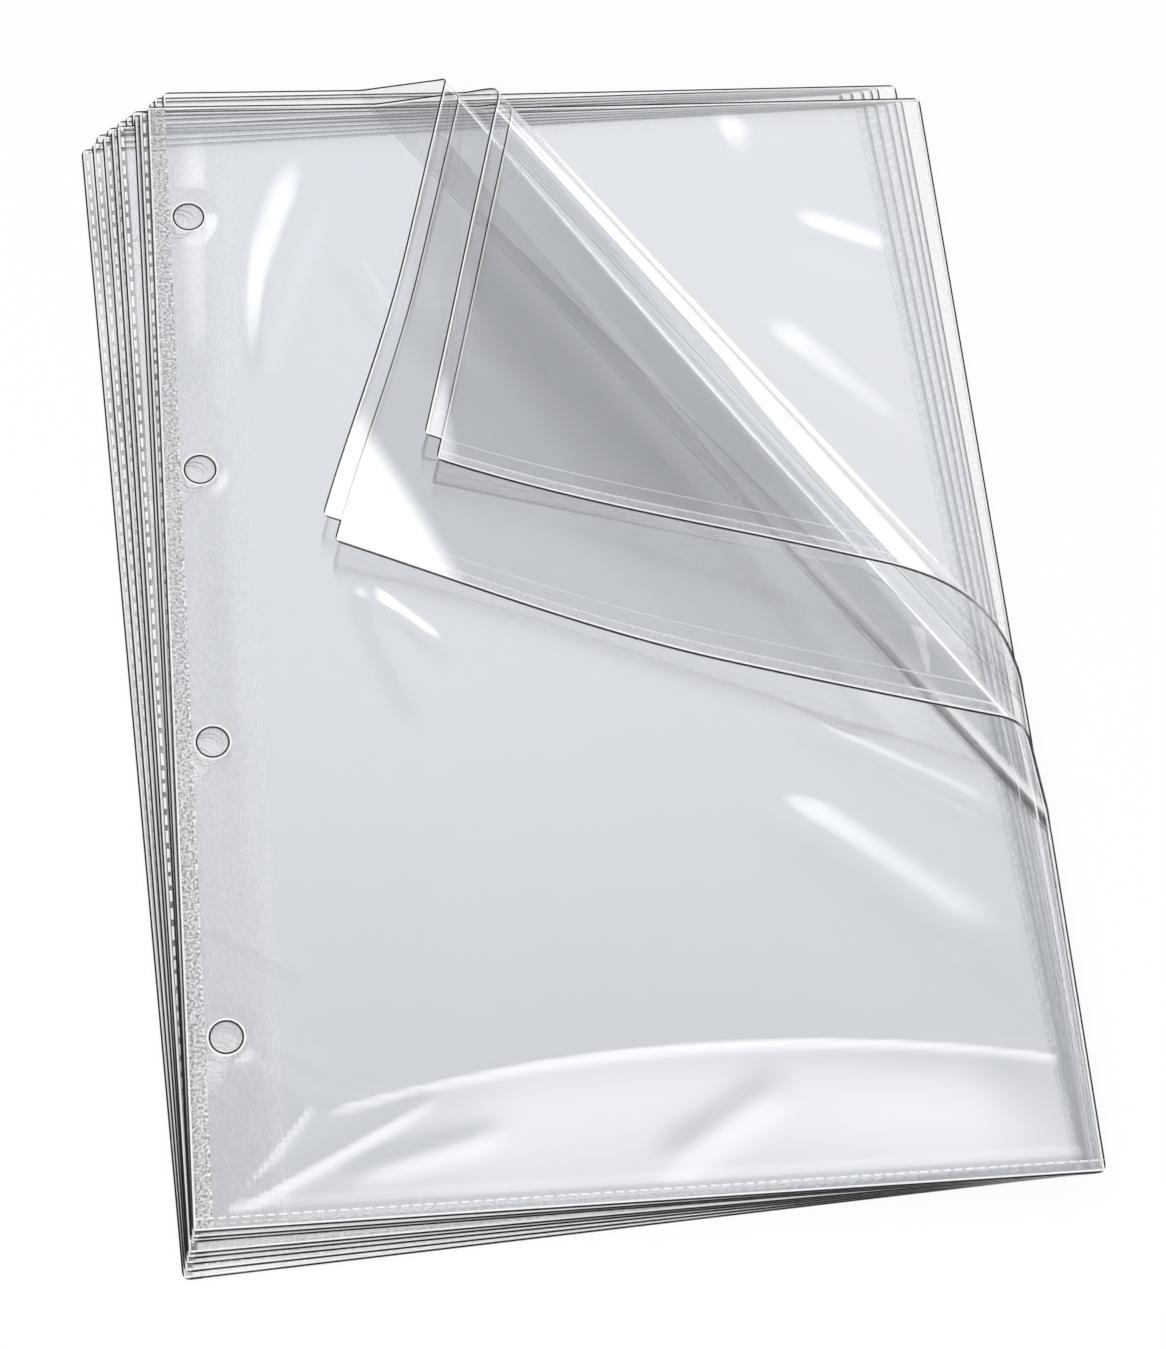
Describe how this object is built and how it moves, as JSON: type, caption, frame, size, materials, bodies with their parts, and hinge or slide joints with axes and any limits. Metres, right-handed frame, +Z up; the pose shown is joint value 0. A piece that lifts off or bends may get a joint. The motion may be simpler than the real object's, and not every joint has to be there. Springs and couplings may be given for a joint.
{
  "type": "sheet protector stack",
  "caption": "Loose fanned stack of clear top-loading sheet protectors with punched binding strips, the upper two with a corner rolled over.",
  "frame": {"origin": "on the underside of the stack, below the middle of the top protector", "axes": "+Y to the open mouth, -X to the binding edge, +Z up"},
  "size_m": [0.251, 0.3417, 0.0252],
  "materials": {
    "film": "clear glossy film",
    "binding": "clear strip with a fine matte grain",
    "weld": "embossed heat seal"
  },
  "bodies": {
    "protector_8": {"back_film_8": "film", "binding_strip_8": "binding", "edge_weld_8": "weld", "front_film_8": "film"},
    "protector_7": {"back_film_7": "film", "binding_strip_7": "binding", "edge_weld_7": "weld", "front_film_7": "film"},
    "protector_6": {"back_film_6": "film", "binding_strip_6": "binding", "edge_weld_6": "weld", "front_film_6": "film"},
    "protector_5": {"back_film_5": "film", "binding_strip_5": "binding", "edge_weld_5": "weld", "front_film_5": "film"},
    "protector_4": {"back_film_4": "film", "binding_strip_4": "binding", "edge_weld_4": "weld", "front_film_4": "film"},
    "protector_3": {"back_film_3": "film", "binding_strip_3": "binding", "edge_weld_3": "weld", "front_film_3": "film"},
    "protector_2": {"back_film_2": "film", "binding_strip_2": "binding", "edge_weld_2": "weld", "front_film_2": "film", "back_curl_2": "film", "front_curl_2": "film", "curl_weld_2": "weld"},
    "protector_1": {"back_film_1": "film", "binding_strip_1": "binding", "edge_weld_1": "weld", "front_film_1": "film", "back_curl_1": "film", "front_curl_1": "film", "curl_weld_1": "weld"},
    "flap_1": {"back_flap_1": "film", "front_flap_1": "film", "flap_weld_1": "weld"},
    "flap_2": {"back_flap_2": "film", "front_flap_2": "film", "flap_weld_2": "weld"}
  },
  "joints": [
    {"name": "protector_7_lift", "type": "slide", "parent": "protector_8", "child": "protector_7", "axis": [0, 0, 1], "range_m": [0, 0.04]},
    {"name": "protector_6_lift", "type": "slide", "parent": "protector_7", "child": "protector_6", "axis": [0, 0, 1], "range_m": [0, 0.04]},
    {"name": "protector_5_lift", "type": "slide", "parent": "protector_6", "child": "protector_5", "axis": [0, 0, 1], "range_m": [0, 0.04]},
    {"name": "protector_4_lift", "type": "slide", "parent": "protector_5", "child": "protector_4", "axis": [0, 0, 1], "range_m": [0, 0.04]},
    {"name": "protector_3_lift", "type": "slide", "parent": "protector_4", "child": "protector_3", "axis": [0, 0, 1], "range_m": [0, 0.04]},
    {"name": "protector_2_lift", "type": "slide", "parent": "protector_3", "child": "protector_2", "axis": [0, 0, 1], "range_m": [0, 0.04]},
    {"name": "protector_1_draw", "type": "slide", "parent": "protector_2", "child": "protector_1", "axis": [-0.585, 0.8111, 0], "range_m": [0, 0.12]},
    {"name": "flap_1_unroll", "type": "hinge", "parent": "protector_1", "child": "flap_1", "pos_m": [0.01863, 0.09027, 0.01473], "axis": [0.585, -0.8111, 0], "range_deg": [-185, 0], "deforming": ["back_curl_1", "front_curl_1", "curl_weld_1"]},
    {"name": "flap_2_unroll", "type": "hinge", "parent": "protector_2", "child": "flap_2", "pos_m": [0.03288, 0.10055, 0.01606], "axis": [0.585, -0.8111, 0], "range_deg": [-185, 0], "deforming": ["back_curl_2", "front_curl_2", "curl_weld_2"]}
  ],
  "couplings": [
    {"joint": "flap_2_unroll", "follows": "flap_1_unroll", "ratio": 1}
  ]
}
